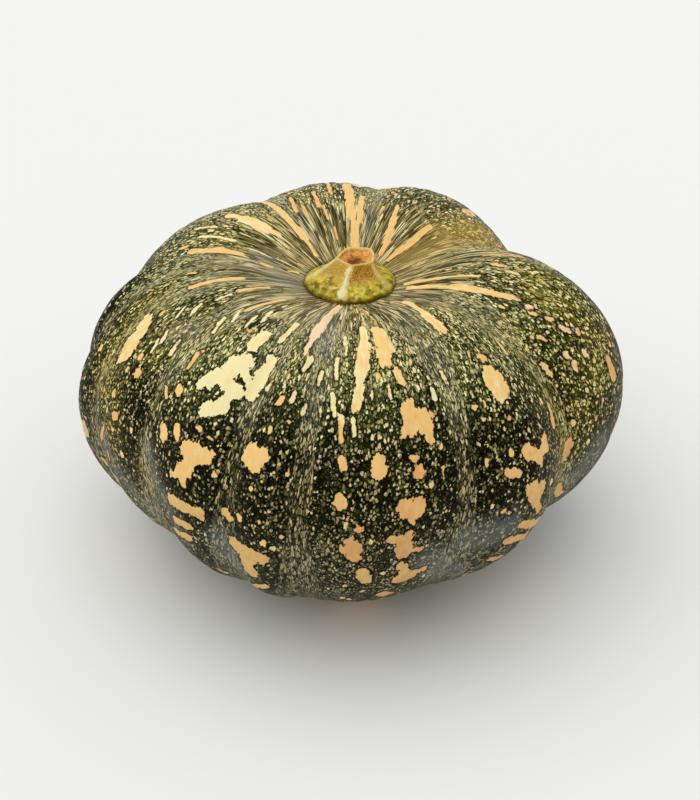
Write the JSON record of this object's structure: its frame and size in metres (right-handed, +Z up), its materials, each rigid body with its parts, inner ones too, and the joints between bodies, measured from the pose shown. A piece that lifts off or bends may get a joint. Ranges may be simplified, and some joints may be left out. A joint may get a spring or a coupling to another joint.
{
  "type": "pumpkin",
  "caption": "Flattened, ribbed dark-green pumpkin with cream flecks and patches and a cut stem in its dimple, resting on its blossom end.",
  "frame": {"origin": "on the surface the pumpkin rests on, under the middle of its box", "axes": "+Z up through the dimple and stem, -Y towards the front that the picture shows, +X to the picture's right"},
  "size_m": [0.2592, 0.2576, 0.149],
  "materials": {
    "skin": "satin",
    "stem": "satin"
  },
  "bodies": {
    "root": {"fruit": "skin", "stem": "stem"}
  },
  "joints": []
}
